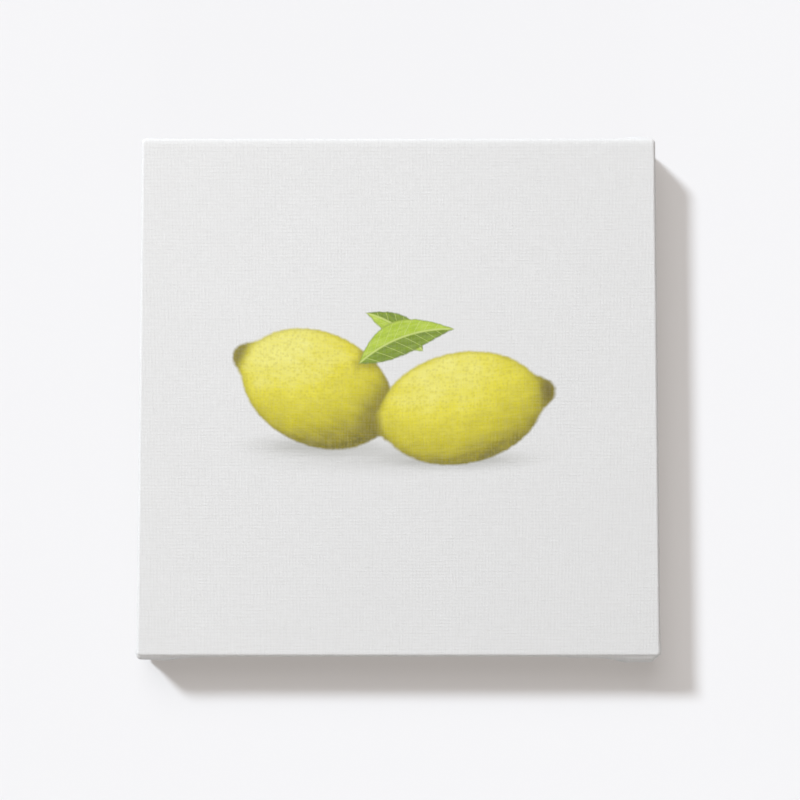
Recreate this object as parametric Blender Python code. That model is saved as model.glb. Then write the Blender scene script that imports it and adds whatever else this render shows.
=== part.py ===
"""A square stretched canvas for hanging on a wall.

Four mitred softwood stretcher bars, each side bar slotted at its ends for the
tongues of the top and bottom bars, carry one canvas. The canvas is wrapped
round them, pleated at its corners and stapled on the back. A sawtooth hanger
is nailed to the top bar, and two rubber pads keep the lower corners off the
wall.

Metres, +Z up. The picture faces -Y and the wall is the plane y = 0. The origin
is where a wall nail meets the middle notch of the hanger.
"""

import math
import random

import bmesh
import bpy
from mathutils import Matrix, Vector

# Clearance left between pieces that touch.
GAP = 0.0003

# The wooden frame: a nominal 10 in square of 3/4 in deep bars.
FRAME_SIDE = 0.254
BAR_WIDTH = 0.034
BAR_DEPTH = 0.019
BAR_FACE_FALL = 0.003
BEAD_RADIUS = 0.0008
BEAD_WIDTH = 0.004
BAR_INNER_EASE = 0.001
TONGUE_THICK = 0.005
TONGUE_SHOULDER = 0.002
TONGUE_END_SETBACK = 0.001
SLOT_RUN_OUT = 0.002

# The canvas, as it lies round the frame.
CANVAS_THICK = 0.0006
CANVAS_TURN = 0.018
FRONT_EDGE_RADIUS = 0.0015
BACK_EDGE_RADIUS = 0.0012
CORNER_RADIUS = 0.0012
INNER_CORNER_RADIUS = 0.0005
ARC_STEPS = 4

# The pleat of spare canvas at each corner, on the top and bottom sides.
PLEAT_RISE = {"top_left": 0.0020, "top_right": 0.0023, "bottom_right": 0.0027, "bottom_left": 0.0021}
PLEAT_RISE_IN = 0.007
PLEAT_START = 0.005
PLEAT_STEP = 0.006
PLEAT_PAST_DIAGONAL = 0.003
PLEAT_TAIL_SHARE = 0.22
PLEAT_LENGTH = 0.048
PLEAT_END_DROP = 0.45
PLEAT_ALONG = (0.0, 0.0025, 0.005, 0.009, 0.013, 0.017, 0.020, 0.023, 0.026, 0.030, 0.038, 0.048)
PLEAT_ACROSS = (0.0, 0.0025, 0.005, 0.0075, 0.011, 0.015, 0.019, 0.0205, 0.0213)
PLEAT_SUNK = 0.0001

# The pleat's layers turned over on the back.
BACK_FOLD_LENGTH = 0.027
BACK_FOLD_LEAN = 0.0045
BACK_FOLD_START = 0.001
BACK_FOLD_OVERHANG_SHARE = 0.70
BACK_FOLD_RAMP = 0.004

# Wire staples: through the canvas, and across each mitre.
STAPLE_CROWN = 0.010
STAPLE_LEG = 0.008
WIRE_THICK = 0.0006
WIRE_WIDE = 0.0012
STAPLE_BEND = 0.0007
STAPLE_POINT = 0.0010
STAPLES_PER_SIDE = 5
STAPLE_PITCH = 0.040
STAPLE_INSET = 0.011
STAPLE_TURN_DEG = 5.0
STAPLE_SHIFT = 0.0012
CORNER_STAPLE_ALONG = 0.0225
CORNER_STAPLE_INSET = 0.0095
MITRE_STAPLE_INSET = 0.0265

# The sawtooth hanger, its nails and the wall pads.
HANGER_LENGTH = 0.045
HANGER_HEIGHT = 0.008
HANGER_THICK = 0.0009
HANGER_JOGGLE = 0.0013
HANGER_TAB = 0.0075
HANGER_STEP = 0.0015
TOOTH_PITCH = 0.002
TOOTH_DEPTH = 0.0012
NOTCH_BELOW_TOP = 0.029
NAIL_RADIUS = 0.0007
NAIL_LENGTH = 0.011
NAIL_HEAD_RADIUS = 0.0019
NAIL_HEAD_THICK = 0.0009
NAIL_FROM_END = 0.0037
PAD_RADIUS = 0.0045
PAD_THICK = 0.0019
PAD_TAPER = 0.0006
PAD_FROM_SIDE = 0.012
PAD_FROM_BOTTOM = 0.0092

# Depth planes, counted from the wall.
FOLD_BACK = -(PAD_THICK + GAP)
CANVAS_BACK = FOLD_BACK - CANVAS_THICK
WOOD_BACK = CANVAS_BACK - CANVAS_THICK - GAP
WOOD_FRONT = WOOD_BACK - BAR_DEPTH
CANVAS_FRONT = WOOD_FRONT - GAP - CANVAS_THICK

# Half sizes, and the frame's middle below the hanger's notch.
WOOD_HALF = FRAME_SIDE / 2
CANVAS_HALF = WOOD_HALF + GAP + CANVAS_THICK
TURN_HALF = WOOD_HALF - CANVAS_TURN
MIDDLE_Z = NOTCH_BELOW_TOP - WOOD_HALF
MITRE_SETBACK = GAP / 2 * math.sqrt(2)

SIDE_NAMES = ("top", "right", "bottom", "left")
SMOOTH_ANGLE = math.radians(40)
JITTER_SEED = 11


def clear_scene():
    for obj in list(bpy.data.objects):
        bpy.data.objects.remove(obj)


def material(name, colour, roughness, metallic=0.0):
    made = bpy.data.materials.new(name)
    made.use_nodes = True
    shader = made.node_tree.nodes["Principled BSDF"]
    shader.inputs["Base Color"].default_value = (*colour, 1.0)
    shader.inputs["Roughness"].default_value = roughness
    shader.inputs["Metallic"].default_value = metallic
    made.diffuse_color = (*colour, 1.0)
    return made


def mesh_object(name, shape, finish, parent, turn=0.0):
    """An object from a bmesh, turned about the frame's middle axis (Y) by whole sides."""
    bmesh.ops.recalc_face_normals(shape, faces=shape.faces)
    mesh = bpy.data.meshes.new(name)
    shape.to_mesh(mesh)
    shape.free()
    if finish:
        mesh.materials.append(finish)
    mesh.shade_smooth()
    mesh.set_sharp_from_angle(angle=SMOOTH_ANGLE)
    obj = bpy.data.objects.new(name, mesh)
    bpy.context.scene.collection.objects.link(obj)
    obj.parent = parent
    obj.rotation_euler = (0, turn, 0)
    return obj


def as_helper(obj):
    obj.hide_render = True
    obj.display_type = "WIRE"
    return obj


def combine(obj, other, operation):
    cut = obj.modifiers.new(f"{operation.lower()} {other.name}", "BOOLEAN")
    cut.operation = operation
    cut.object = other
    cut.solver = "EXACT"


def add_box(shape, low, high):
    """A closed box between two corners."""
    low, high = Vector(low), Vector(high)
    middle = (low + high) / 2
    place = Matrix.Translation(middle) @ Matrix.Diagonal((*(high - low), 1.0))
    bmesh.ops.create_cube(shape, size=1.0, matrix=place)


def add_prism(shape, outline, move):
    """A closed prism: outline is a list of points, and move the way it is extruded."""
    near = [shape.verts.new(p) for p in outline]
    far = [shape.verts.new(Vector(p) + Vector(move)) for p in outline]
    shape.faces.new(near)
    shape.faces.new(reversed(far))
    for i, point in enumerate(near):
        after = (i + 1) % len(near)
        shape.faces.new((point, far[i], far[after], near[after]))


def loft(shape, rings):
    """Skins a list of equally long closed rings of points, and caps both ends."""
    rows = [[shape.verts.new(p) for p in ring] for ring in rings]
    for first, second in zip(rows, rows[1:]):
        for i, point in enumerate(first):
            after = (i + 1) % len(first)
            shape.faces.new((point, first[after], second[after], second[i]))
    shape.faces.new(reversed(rows[0]))
    shape.faces.new(rows[-1])


def smooth_step(value):
    value = min(1.0, max(0.0, value))
    return value * value * (3 - 2 * value)


def side_turn(side):
    """The rotation about Y that takes the top side to this side."""
    return SIDE_NAMES.index(side) * math.pi / 2


def bar_profile():
    """The bar's section as (across from the outer edge, depth from the front)."""
    points = [(0.0, BAR_DEPTH)]
    for step in range(ARC_STEPS + 1):
        angle = step / ARC_STEPS * math.pi / 2
        across = BEAD_RADIUS * (1 - math.cos(angle))
        depth = BEAD_RADIUS * (1 - math.sin(angle))
        points.append((across, depth))
    points.append((BEAD_WIDTH, 0.0))
    points.append((BAR_WIDTH - BAR_INNER_EASE, BAR_FACE_FALL))
    points.append((BAR_WIDTH, BAR_FACE_FALL + BAR_INNER_EASE))
    points.append((BAR_WIDTH, BAR_DEPTH - BAR_INNER_EASE))
    points.append((BAR_WIDTH - BAR_INNER_EASE, BAR_DEPTH))
    return points


def stretcher_bar(side, wood, parent):
    """A bar with both ends mitred, built as the top bar and turned to its side."""
    shape = bmesh.new()
    ends = []
    for direction in (-1, 1):
        ring = []
        for across, depth in bar_profile():
            reach = WOOD_HALF - across - MITRE_SETBACK
            ring.append((direction * reach, WOOD_FRONT + depth, WOOD_HALF - across))
        ends.append(ring)
    loft(shape, ends)
    return mesh_object(f"stretcher_bar_{side}", shape, wood, parent, side_turn(side))


def corner_boxes(name, parent, inner, outer, half_thick, turn):
    """One box at each end of a bar, in the corner squares, centred in the depth."""
    shape = bmesh.new()
    middle = (WOOD_FRONT + WOOD_BACK) / 2
    for direction in (-1, 1):
        ends = sorted((direction * inner, direction * outer))
        low = (ends[0], middle - half_thick, inner)
        high = (ends[1], middle + half_thick, outer)
        add_box(shape, low, high)
    return as_helper(mesh_object(name, shape, None, parent, turn))


def build_frame(wood, parent):
    """The four bars: tongues on the top and bottom ones, slots in the side ones."""
    shoulder = WOOD_HALF - BAR_WIDTH + TONGUE_SHOULDER
    half_tongue = TONGUE_THICK / 2
    bars = {}
    for side in SIDE_NAMES:
        bar = stretcher_bar(side, wood, parent)
        bars[side] = bar
        turn = side_turn(side)
        if side in ("top", "bottom"):
            reach = WOOD_HALF - TONGUE_END_SETBACK
            tongues = corner_boxes(f"tongues_{side}", parent, shoulder, reach, half_tongue, turn)
            combine(bar, tongues, "UNION")
        else:
            reach = WOOD_HALF + SLOT_RUN_OUT
            slot_half = half_tongue + GAP
            slots = corner_boxes(f"slots_{side}", parent, shoulder - GAP, reach, slot_half, turn)
            combine(bar, slots, "DIFFERENCE")
    return bars


def rounded_square(half, radius, y):
    """A ring of points round a square with arcs at its corners, at one depth."""
    ring = []
    for corner in range(4):
        centre = half - radius
        for step in range(ARC_STEPS + 1):
            angle = (corner + step / ARC_STEPS) * math.pi / 2
            across = (math.cos(corner * math.pi / 2) - math.sin(corner * math.pi / 2)) * centre
            along = (math.sin(corner * math.pi / 2) + math.cos(corner * math.pi / 2)) * centre
            x = across + radius * math.cos(angle)
            z = along + radius * math.sin(angle)
            ring.append((x, y, z))
    return ring


def canvas_rings():
    """Rings down the outside of the wrapped canvas, round its cut edge and back inside."""
    rings = []
    for step in range(ARC_STEPS + 1):
        angle = step / ARC_STEPS * math.pi / 2
        half = CANVAS_HALF - FRONT_EDGE_RADIUS * (1 - math.sin(angle))
        y = CANVAS_FRONT + FRONT_EDGE_RADIUS * (1 - math.cos(angle))
        rings.append(rounded_square(half, CORNER_RADIUS, y))
    for step in range(ARC_STEPS + 1):
        angle = step / ARC_STEPS * math.pi / 2
        half = CANVAS_HALF - BACK_EDGE_RADIUS * (1 - math.cos(angle))
        y = CANVAS_BACK - BACK_EDGE_RADIUS * (1 - math.sin(angle))
        rings.append(rounded_square(half, CORNER_RADIUS, y))
    inner_half = WOOD_HALF + GAP
    inner_back = CANVAS_BACK - CANVAS_THICK
    rings.append(rounded_square(TURN_HALF, INNER_CORNER_RADIUS, CANVAS_BACK))
    rings.append(rounded_square(TURN_HALF, INNER_CORNER_RADIUS, inner_back))
    rings.append(rounded_square(inner_half, INNER_CORNER_RADIUS, inner_back))
    rings.append(rounded_square(inner_half, INNER_CORNER_RADIUS, CANVAS_FRONT + CANVAS_THICK))
    return rings


def corner_rise(side_sign, end_sign):
    """The full rise of the pleat at the corner that lies towards these signs of Z and X."""
    side = "top" if side_sign > 0 else "bottom"
    end = "right" if end_sign > 0 else "left"
    return PLEAT_RISE[f"{side}_{end}"]


def pleat_share(along, across):
    """The share of its full rise that a pleat has, along from the corner, across from the front."""
    near_front = smooth_step(across / PLEAT_RISE_IN)
    near_corner = smooth_step(along / PLEAT_START)
    past = along - across - PLEAT_PAST_DIAGONAL
    layered = 1 - smooth_step(past / PLEAT_STEP)
    tail = PLEAT_TAIL_SHARE * smooth_step((PLEAT_LENGTH - along) / PLEAT_LENGTH)
    share = tail + (1 - tail) * layered
    turned = 1 - PLEAT_END_DROP * smooth_step((across - BAR_DEPTH) / (PLEAT_ACROSS[-1] - BAR_DEPTH))
    return near_front * near_corner * share * turned


def add_pleat(shape, side_sign, end_sign):
    """One corner's pleat as a closed body whose foot is sunk in the canvas's side."""
    foot = CANVAS_HALF - CANVAS_THICK / 2
    full_rise = corner_rise(side_sign, end_sign)
    grids = {"foot": [], "top": []}
    for across in PLEAT_ACROSS:
        foot_row, top_row = [], []
        for along in PLEAT_ALONG:
            x = end_sign * (CANVAS_HALF - GAP - along)
            y = CANVAS_FRONT + GAP + across
            rise = CANVAS_HALF - PLEAT_SUNK + full_rise * pleat_share(along, across)
            foot_row.append(shape.verts.new((x, y, side_sign * foot)))
            top_row.append(shape.verts.new((x, y, side_sign * rise)))
        grids["foot"].append(foot_row)
        grids["top"].append(top_row)
    rows, columns = len(PLEAT_ACROSS), len(PLEAT_ALONG)
    for grid in grids.values():
        for i in range(rows - 1):
            for j in range(columns - 1):
                corners = (grid[i][j], grid[i][j + 1], grid[i + 1][j + 1], grid[i + 1][j])
                shape.faces.new(corners)
    rim = [(0, j) for j in range(columns)]
    rim += [(i, columns - 1) for i in range(1, rows)]
    rim += [(rows - 1, j) for j in range(columns - 2, -1, -1)]
    rim += [(i, 0) for i in range(rows - 2, 0, -1)]
    for (i, j), (k, m) in zip(rim, rim[1:] + rim[:1]):
        corners = (grids["foot"][i][j], grids["foot"][k][m], grids["top"][k][m], grids["top"][i][j])
        shape.faces.new(corners)


def add_back_fold(shape, side_sign, end_sign):
    """The pleat turned over on the back: one thicker layer with a leaning end."""
    outer = CANVAS_HALF + BACK_FOLD_OVERHANG_SHARE * corner_rise(side_sign, end_sign)
    inner = TURN_HALF + GAP
    low = CANVAS_BACK - CANVAS_THICK / 2
    start = CANVAS_HALF - BACK_FOLD_START
    flat_end = CANVAS_HALF - BACK_FOLD_LENGTH
    ramp_end = flat_end - BACK_FOLD_RAMP
    points = []
    for y, end in ((low, ramp_end), (FOLD_BACK, flat_end)):
        for x, z in (
            (start, outer),
            (start - BACK_FOLD_LEAN, inner),
            (end, inner),
            (end, outer),
        ):
            points.append(shape.verts.new((end_sign * x, y, side_sign * z)))
    near, far = points[:4], points[4:]
    shape.faces.new(near)
    shape.faces.new(reversed(far))
    for i in range(4):
        after = (i + 1) % 4
        shape.faces.new((near[i], far[i], far[after], near[after]))


def corner_parts(name, add_one, parent):
    """The four corners' copies of one fold, as one helper."""
    shape = bmesh.new()
    for side_sign in (-1, 1):
        for end_sign in (-1, 1):
            add_one(shape, side_sign, end_sign)
    return as_helper(mesh_object(name, shape, None, parent))


def build_canvas(cloth, parent):
    shape = bmesh.new()
    loft(shape, canvas_rings())
    canvas = mesh_object("canvas", shape, cloth, parent)
    combine(canvas, corner_parts("pleats", add_pleat, parent), "UNION")
    combine(canvas, corner_parts("back_folds", add_back_fold, parent), "UNION")
    return canvas


def staple_outline():
    """The U of a staple: legs towards -Y, the underside of its crown at y = 0."""
    half = STAPLE_CROWN / 2
    points = []
    for sign in (1, -1):
        arc = []
        for step in range(ARC_STEPS):
            angle = step / (ARC_STEPS - 1) * math.pi / 2
            x = half - STAPLE_BEND * (1 - math.cos(angle))
            y = WIRE_THICK - STAPLE_BEND * (1 - math.sin(angle))
            arc.append((sign * x, y))
        tip_out = (sign * half, STAPLE_POINT - STAPLE_LEG)
        tip_in = (sign * (half - WIRE_THICK), -STAPLE_LEG)
        inside = (sign * (half - WIRE_THICK), 0.0)
        leg = [inside, tip_in, tip_out] + arc
        points += leg if sign > 0 else list(reversed(leg))
    return points


def staple_spots():
    """(name, x, z, angle, y of the surface under the crown) for every staple."""
    draw = random.Random(JITTER_SEED)
    spots = []
    for side in SIDE_NAMES:
        turn = side_turn(side)
        for index in range(STAPLES_PER_SIDE):
            along = (index - (STAPLES_PER_SIDE - 1) / 2) * STAPLE_PITCH
            along += draw.uniform(-1, 1) * STAPLE_SHIFT
            out = WOOD_HALF - STAPLE_INSET + draw.uniform(-1, 1) * STAPLE_SHIFT
            lean = math.radians(draw.uniform(-1, 1) * STAPLE_TURN_DEG)
            place = Matrix.Rotation(turn, 4, "Y") @ Vector((along, 0, out))
            spots.append((f"staple_{side}_{index + 1}", place.x, place.z, turn + lean, CANVAS_BACK))
    corners = (("top_right", 1, 1), ("bottom_right", 1, -1), ("bottom_left", -1, -1), ("top_left", -1, 1))
    for corner, sign_x, sign_z in corners:
        x = sign_x * (WOOD_HALF - CORNER_STAPLE_ALONG)
        z = sign_z * (WOOD_HALF - CORNER_STAPLE_INSET)
        slant = sign_x * sign_z * math.pi / 4
        spots.append((f"staple_fold_{corner}", x, z, slant, FOLD_BACK))
        mitre = WOOD_HALF - MITRE_STAPLE_INSET
        spots.append((f"staple_mitre_{corner}", sign_x * mitre, sign_z * mitre, slant, WOOD_BACK))
    return spots


def staple_place(x, z, angle, surface):
    return Matrix.Translation((x, surface + GAP, z)) @ Matrix.Rotation(angle, 4, "Y")


def build_staples(steel, parent):
    """The staples share one mesh. Returns the cutter for their legs' holes."""
    shape = bmesh.new()
    outline = [(x, y, -WIRE_WIDE / 2) for x, y in staple_outline()]
    add_prism(shape, outline, (0, 0, WIRE_WIDE))
    shared = None
    holes = bmesh.new()
    middle = (STAPLE_CROWN - WIRE_THICK) / 2
    reach = WIRE_THICK / 2 + GAP
    wide = WIRE_WIDE / 2 + GAP
    for name, x, z, angle, surface in staple_spots():
        place = staple_place(x, z, angle, surface)
        if shared is None:
            staple = mesh_object(name, shape, steel, parent)
            shared = staple.data
        else:
            staple = bpy.data.objects.new(name, shared)
            bpy.context.scene.collection.objects.link(staple)
            staple.parent = parent
        staple.matrix_basis = place
        for sign in (-1, 1):
            leg = bmesh.new()
            low = (sign * middle - reach, -STAPLE_LEG - GAP, -wide)
            high = (sign * middle + reach, WIRE_THICK, wide)
            add_box(leg, low, high)
            leg.transform(place)
            scratch = bpy.data.meshes.new("leg")
            leg.to_mesh(scratch)
            leg.free()
            holes.from_mesh(scratch)
            bpy.data.meshes.remove(scratch)
    return as_helper(mesh_object("staple_holes", holes, None, parent))


def disc_rings(radii_and_depths, x, z, sides):
    """Rings of a turned piece whose axis runs along Y."""
    rings = []
    for radius, y in radii_and_depths:
        ring = []
        for step in range(sides):
            angle = step / sides * 2 * math.pi
            ring.append((x + radius * math.cos(angle), y, z + radius * math.sin(angle)))
        rings.append(ring)
    return rings


def hanger_stations():
    """(x, lower edge, y offset) along the hanger: flat tabs, a joggle, then the teeth."""
    half = HANGER_LENGTH / 2
    joggle_out = half - HANGER_TAB
    joggle_in = joggle_out - HANGER_STEP
    teeth = int(joggle_in // TOOTH_PITCH)
    right = []
    for index in range(2 * teeth + 1):
        x = index * TOOTH_PITCH / 2
        lower = -TOOTH_DEPTH if index % 2 else 0.0
        right.append((x, lower, HANGER_JOGGLE))
    right.append((joggle_in, 0.0, HANGER_JOGGLE))
    right.append((joggle_out, 0.0, 0.0))
    right.append((half - BAR_INNER_EASE, 0.0, 0.0))
    right.append((half, BAR_INNER_EASE, 0.0))
    left = [(-x, lower, offset) for x, lower, offset in reversed(right[1:])]
    return left + right


def build_hanger(steel, parent):
    """The toothed plate. Its middle stands off the wood so that a nail head gets behind it."""
    shape = bmesh.new()
    seat = WOOD_BACK + GAP
    notch_z = -MIDDLE_Z
    rings = []
    for x, lower, offset in hanger_stations():
        upper = HANGER_HEIGHT - max(0.0, lower)
        near = seat + offset
        ring = [
            (x, near, notch_z + lower),
            (x, near + HANGER_THICK, notch_z + lower),
            (x, near + HANGER_THICK, notch_z + upper),
            (x, near, notch_z + upper),
        ]
        rings.append(ring)
    loft(shape, rings)
    plate = mesh_object("sawtooth_hanger", shape, steel, parent)
    holes = bmesh.new()
    hole_radius = NAIL_RADIUS + GAP
    for x, z in nail_spots():
        depths = ((hole_radius, seat - HANGER_THICK), (hole_radius, seat + 2 * HANGER_THICK))
        loft(holes, disc_rings(depths, x, z, 16))
    combine(plate, as_helper(mesh_object("hanger_holes", holes, None, parent)), "DIFFERENCE")
    return plate


def nail_spots():
    x = HANGER_LENGTH / 2 - NAIL_FROM_END
    z = -MIDDLE_Z + HANGER_HEIGHT / 2
    return ((-x, z), (x, z))


def build_nails(steel, parent):
    """Two round-headed nails, and the cutter for their holes in the top bar."""
    under_head = WOOD_BACK + GAP + HANGER_THICK + GAP
    tip = under_head - NAIL_LENGTH
    dome = under_head + NAIL_HEAD_THICK
    holes = bmesh.new()
    for name, (x, z) in zip(("hanger_nail_left", "hanger_nail_right"), nail_spots()):
        shape = bmesh.new()
        section = (
            (NAIL_RADIUS * 0.2, tip),
            (NAIL_RADIUS, tip + 2 * NAIL_RADIUS),
            (NAIL_RADIUS, under_head),
            (NAIL_HEAD_RADIUS, under_head),
            (NAIL_HEAD_RADIUS, under_head + NAIL_HEAD_THICK * 0.3),
            (NAIL_HEAD_RADIUS * 0.75, under_head + NAIL_HEAD_THICK * 0.8),
            (NAIL_HEAD_RADIUS * 0.35, dome),
        )
        loft(shape, disc_rings(section, x, z, 16))
        mesh_object(name, shape, steel, parent)
        clear = NAIL_RADIUS + GAP
        loft(holes, disc_rings(((clear, tip - GAP), (clear, WOOD_BACK + GAP)), x, z, 12))
    return as_helper(mesh_object("nail_holes", holes, None, parent))


def build_pads(rubber, parent):
    """Two round pads on the lower back corners, flat against the wall."""
    z = PAD_FROM_BOTTOM - WOOD_HALF
    for name, sign in (("wall_pad_left", -1), ("wall_pad_right", 1)):
        shape = bmesh.new()
        section = (
            (PAD_RADIUS, -PAD_THICK),
            (PAD_RADIUS, -PAD_TAPER),
            (PAD_RADIUS - PAD_TAPER / 2, -PAD_TAPER / 3),
            (PAD_RADIUS - PAD_TAPER, 0.0),
        )
        loft(shape, disc_rings(section, sign * (WOOD_HALF - PAD_FROM_SIDE), z, 24))
        mesh_object(name, shape, rubber, parent)


def main():
    clear_scene()
    wood = material("softwood", (0.72, 0.52, 0.32), 0.65)
    cloth = material("primed_canvas", (0.86, 0.86, 0.85), 0.75)
    steel = material("galvanised_steel", (0.62, 0.62, 0.60), 0.35, 1.0)
    plate = material("brassed_steel", (0.70, 0.58, 0.34), 0.35, 1.0)
    rubber = material("pad_rubber", (0.80, 0.80, 0.78), 0.55)

    middle = bpy.data.objects.new("frame_middle", None)
    bpy.context.scene.collection.objects.link(middle)
    middle.location = (0, 0, MIDDLE_Z)

    bars = build_frame(wood, middle)
    canvas = build_canvas(cloth, middle)
    staple_holes = build_staples(steel, middle)
    for bar in bars.values():
        combine(bar, staple_holes, "DIFFERENCE")
    combine(canvas, staple_holes, "DIFFERENCE")
    build_hanger(plate, middle)
    combine(bars["top"], build_nails(plate, middle), "DIFFERENCE")
    build_pads(rubber, middle)


main()
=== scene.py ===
import math
from collections import namedtuple

import bpy
from mathutils import Matrix, Vector, noise


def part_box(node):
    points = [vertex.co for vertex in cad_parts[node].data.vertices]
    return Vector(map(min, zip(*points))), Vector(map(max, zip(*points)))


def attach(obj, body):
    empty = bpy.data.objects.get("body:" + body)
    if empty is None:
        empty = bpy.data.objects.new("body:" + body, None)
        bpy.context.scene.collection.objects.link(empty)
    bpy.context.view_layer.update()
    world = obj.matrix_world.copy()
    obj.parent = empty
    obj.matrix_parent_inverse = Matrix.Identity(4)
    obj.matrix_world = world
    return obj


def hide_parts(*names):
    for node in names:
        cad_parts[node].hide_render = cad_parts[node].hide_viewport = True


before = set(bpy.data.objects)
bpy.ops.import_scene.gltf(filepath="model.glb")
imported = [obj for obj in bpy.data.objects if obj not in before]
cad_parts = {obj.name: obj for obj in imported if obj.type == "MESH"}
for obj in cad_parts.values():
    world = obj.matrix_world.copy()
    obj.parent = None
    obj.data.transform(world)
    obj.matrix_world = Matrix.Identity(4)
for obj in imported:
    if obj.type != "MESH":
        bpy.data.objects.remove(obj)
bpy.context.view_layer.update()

MM = 0.001
FRAME_MIDDLE = Vector((0.0, 0.0, -0.098))
SIDES = ("top", "right", "bottom", "left")

# The wrapped cloth, measured to its outer face.
CLOTH_HALF = 127.9 * MM
CLOTH_FRONT = -23.6 * MM
CLOTH_BACK = -2.8 * MM
CLOTH_THICK = 0.5 * MM
TURNED_IN = 18.9 * MM
FRONT_EDGE = 1.2 * MM
# The front edge is rounded like a chamfer: 1 would be a circle's arc.
FRONT_EDGE_POWER = 1.5
# The front leans back a little towards its top edge: how far in it starts, and how deep.
TOP_EASE = 2.6 * MM
TOP_EASE_DEPTH = 0.27 * MM
BACK_EDGE = 1.3 * MM
# The upright corners' radius outside and inside, and its share at the rim of the front.
CORNER = 2.1 * MM
INNER_CORNER = 1.4 * MM
CORNER_AT_FRONT = 0.25
# The flat front starts this far inside its rounded edge.
FRONT_GRID_INSET = 0.45 * MM
# The inner face's own small front edge: how far it is eased back and in.
INNER_EDGE_BACK = 0.2 * MM
INNER_EDGE_IN = 0.4 * MM
# The raw edge behind: each fray's depth in mm and its waves per metre.
FRAYS = ((0.35, 420.0), (0.25, 90.0))

# The cloth's rows of points from front to back, and its points along each side.
FRONT_EDGE_ROWS = 7
BACK_EDGE_ROWS = 5
SIDE_ROW = 0.8 * MM
STRIP_ROW = 1.0 * MM
CORNER_POINTS = 5
# Spacing along a side, in mm: (up to this far from the corner, spacing).
LONG_SIDE_SPACING = ((26.0, 0.55), (46.0, 0.9), (126.5, 5.5))
SHORT_SIDE_SPACING = ((26.0, 0.8), (126.5, 6.0))
# A point nearer the middle than this share of a side gives way to the middle's own.
MIDDLE_GAP = 0.002

Row = namedtuple("Row", "reach y out_share back_share radius run")
RingPoint = namedtuple("RingPoint", "x z out_x out_z side")

# The ear of spare cloth at each corner, folded on to the top or bottom side. All is in mm,
# apart from slope and settle. The bulge holds from the corner to one place and has sunk by
# the next; the thin tail holds and ends further on. The ear rises over rise_in behind the
# front and over corner_rise from the corner. Its free edge is a crease that starts at the
# front and slopes away from the corner towards the back. settle is the share of its rise
# that it loses towards the back, or gains where it is below 0.
Ear = namedtuple(
    "Ear", "bulge hold sunk tail tail_hold tail_end rise_in corner_rise crease slope settle"
)
EARS = {
    "top_left": Ear(0.9, 10.0, 22.0, 0.35, 24.0, 40.0, 11.0, 2.6, 3.5, 1.05, 0.42),
    "top_right": Ear(1.2, 12.0, 24.0, 0.4, 26.0, 44.0, 9.5, 4.2, 4.5, 1.0, 0.42),
    "bottom_right": Ear(1.75, 16.0, 34.0, 0.75, 44.0, 54.0, 5.5, 4.6, 14.0, 0.62, 0.45),
    "bottom_left": Ear(0.85, 20.0, 33.0, 0.5, 38.0, 46.0, 5.0, 1.2, 12.0, 0.7, -0.35),
}
# The folded layer at the ear's free edge, how far in its lip rounds over, and the lip's puff.
EAR_LAYER = 0.75
EAR_LIP = 1.1
LIP_PUFF, LIP_PUFF_AT, LIP_PUFF_REACH = 0.3, 2.2, 2.6
# Where the ear and its tail leave the side, counted from the front or the corner.
EAR_START, TAIL_START, CORNER_START = 1.5, 1.2, -0.2
TAIL_REACH = 2.2
SETTLE_START, SETTLE_REACH = 13.0, 7.5
TAIL_THINS, TAIL_THINS_START, TAIL_THINS_REACH = 0.6, 8.0, 12.0

# The swelling on the left or right side beside an ear, in mm.
SideBulge = namedtuple("SideBulge", "rise middle reach rise_in")
SIDE_BULGES = {
    "bottom_right": SideBulge(0.5, 3.0, 4.0, 2.5),
    "bottom_left": SideBulge(1.3, 0.5, 4.0, 6.0),
}

# The ear and its flap turned over behind, in mm.
BACK_FOLD_RISE = 0.6
BACK_FOLD_STEP = 0.8
BACK_FOLD_START = 0.6
BACK_FOLD_LEAN = 4.5
# The rounded back edge takes this much off the way round to the back.
BACK_EDGE_CUT = 1.0

# The pull of a staple on the cloth, in mm.
STAPLE_NEAR = 12.0
STAPLE_HALF_CROWN = 5.0
STAPLE_DENT, STAPLE_DENT_REACH = 0.22, 1.3
STAPLE_SWELL, STAPLE_SWELL_AT, STAPLE_SWELL_REACH = 0.16, 3.0, 1.6
# The staple on a corner fold lies at 45 degrees.
DIAGONAL = 0.7071

# Slack in the cloth, none at the front and half as much behind. Each kind of it has its
# rise in mm, its waves per metre along the sides and across them, and a shift.
SLACK_START, SLACK_REACH = 1.5, 4.0
SLACK_LOST_BEHIND = 0.5
SLACKS = ((0.13, 45.0, 70.0, 0.0), (0.05, 160.0, 160.0, 9.0))

# The wood: each bar's turn to the grain's X, the pith's place and the rings' width, in metres.
Bar = namedtuple("Bar", "turn pith ring_width")
ALONG_X, ALONG_Z = (0.0, 0.0, 0.0), (0.0, math.pi / 2, 0.0)
BARS = {
    "stretcher_bar_top": Bar(ALONG_X, (0.4, 0.045, -0.135), 0.0021),
    "stretcher_bar_bottom": Bar(ALONG_X, (1.3, 0.06, 0.16), 0.0026),
    "stretcher_bar_left": Bar(ALONG_Z, (2.1, 0.05, 0.14), 0.0018),
    "stretcher_bar_right": Bar(ALONG_Z, (3.4, 0.055, -0.13), 0.0023),
}
BAR_EASE = 0.25 * MM
STAPLE_EASE = 0.12 * MM
HANGER_EASE = 0.1 * MM
EASED_ANGLE = 35.0

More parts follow.
